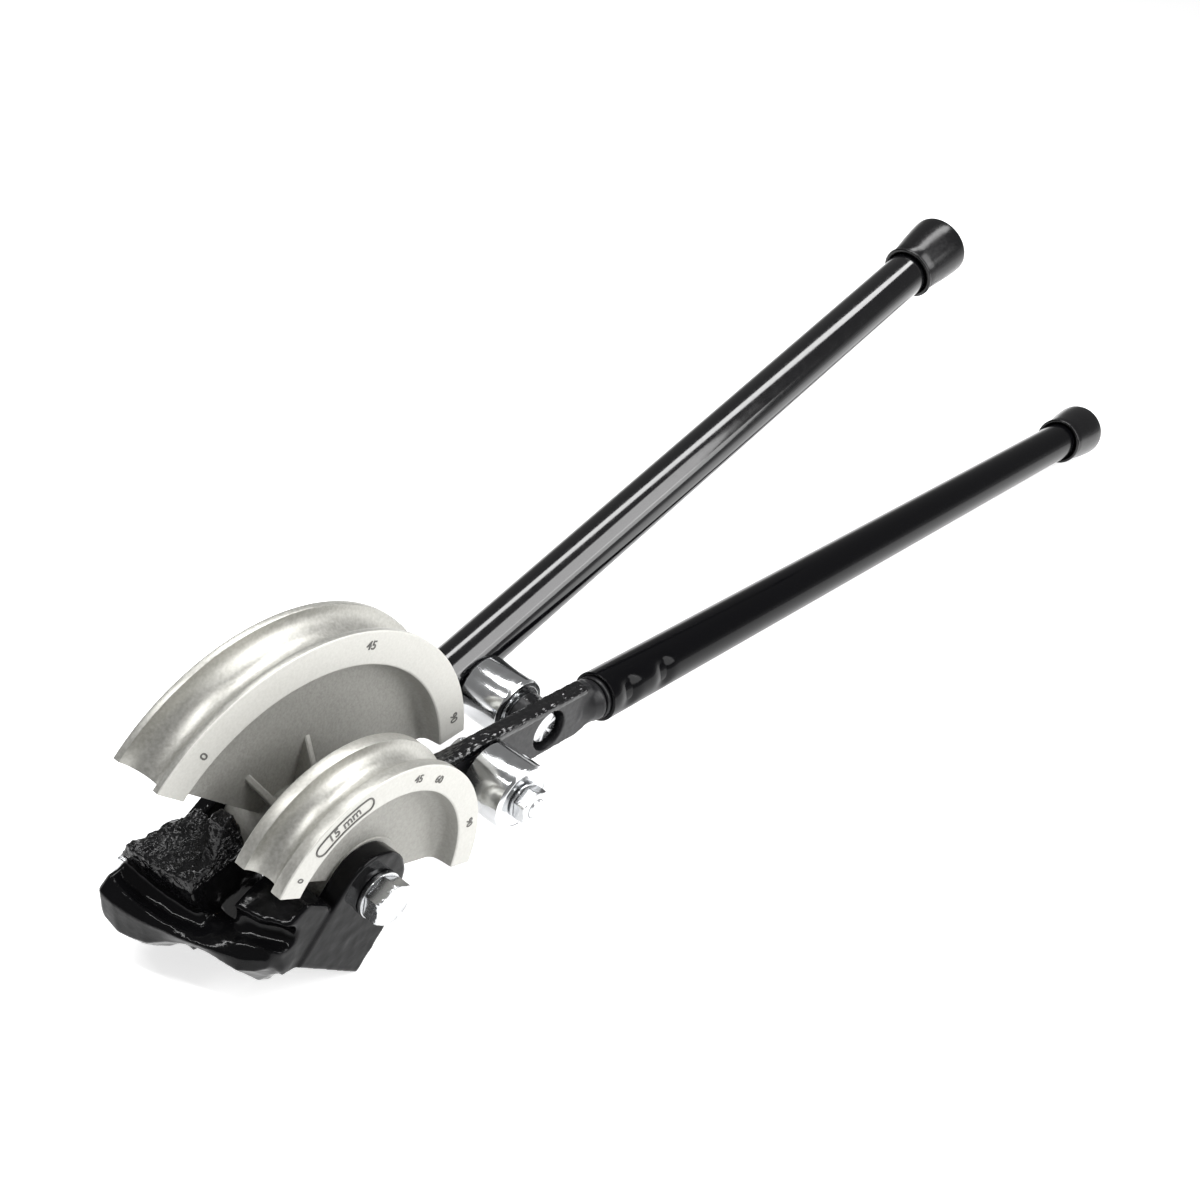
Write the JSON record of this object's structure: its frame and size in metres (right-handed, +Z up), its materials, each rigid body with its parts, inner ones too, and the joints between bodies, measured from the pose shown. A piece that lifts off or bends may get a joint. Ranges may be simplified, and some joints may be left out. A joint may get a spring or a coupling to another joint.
{
  "type": "pipe bender",
  "caption": "Two-handled bench and hand pipe bender: hooked stock with half-round grooved formers, pivoted lever carrying rollers that wrap the pipe round them.",
  "frame": {"origin": "middle of the bender's box in X and Y, on the surface it lies on", "axes": "+Z up from the surface, +X along the lever towards its end cap, Y along the pivot axis, large former towards +Y"},
  "size_m": [0.8882, 0.123, 0.2171],
  "materials": {
    "black_casting": "gloss black paint over a rough casting",
    "black_paint": "gloss black paint on steel tube",
    "cast_aluminium": "blasted die casting with a satin groove",
    "zinc_plate": "bright zinc plate",
    "cap_rubber": "satin black moulded rubber",
    "bronze": "sintered bronze",
    "nylon": "moulded locking ring"
  },
  "bodies": {
    "stock": {"hook_casting": "black_casting", "stock_arm": "black_casting", "stock_arm_bolt_1": "zinc_plate", "stock_arm_washer_1": "zinc_plate", "stock_arm_bolt_2": "zinc_plate", "stock_arm_washer_2": "zinc_plate", "small_former": "cast_aluminium", "large_former": "cast_aluminium", "small_former_pin": "zinc_plate", "large_former_pin": "zinc_plate", "pivot_bolt": "zinc_plate", "pivot_head_washer": "zinc_plate", "pivot_nut_washer": "zinc_plate", "pivot_nut": "zinc_plate", "pivot_nut_ring": "nylon", "stock_tube": "black_paint", "stock_tube_cap": "cap_rubber"},
    "lever": {"lever_arm": "black_casting", "lever_bush": "bronze", "eye_washer_near": "bronze", "eye_washer_far": "bronze", "lever_tube": "black_paint", "lever_tube_cap": "cap_rubber", "near_roller_bolt": "zinc_plate", "near_roller_nut": "zinc_plate", "near_roller_nut_washer": "zinc_plate", "near_roller_head_washer": "zinc_plate", "far_roller_bolt": "zinc_plate", "far_roller_nut": "zinc_plate", "far_roller_washer": "zinc_plate"},
    "near_roller": {"near_roller": "zinc_plate", "near_roller_bush": "bronze"},
    "far_roller": {"far_roller": "zinc_plate", "far_roller_bush": "bronze"}
  },
  "joints": [
    {"name": "lever_swing", "type": "hinge", "parent": "stock", "child": "lever", "pos_m": [-0.35571, -0.01727, 0.04594], "axis": [0, -1, 0], "range_deg": [-30, 150]},
    {"name": "near_roller_spin", "type": "hinge", "parent": "lever", "child": "near_roller", "pos_m": [-0.25773, -0.01727, 0.0437], "axis": [0, -1, 0], "continuous": true},
    {"name": "far_roller_spin", "type": "hinge", "parent": "lever", "child": "far_roller", "pos_m": [-0.20771, -0.01727, 0.0432], "axis": [0, -1, 0], "continuous": true}
  ]
}
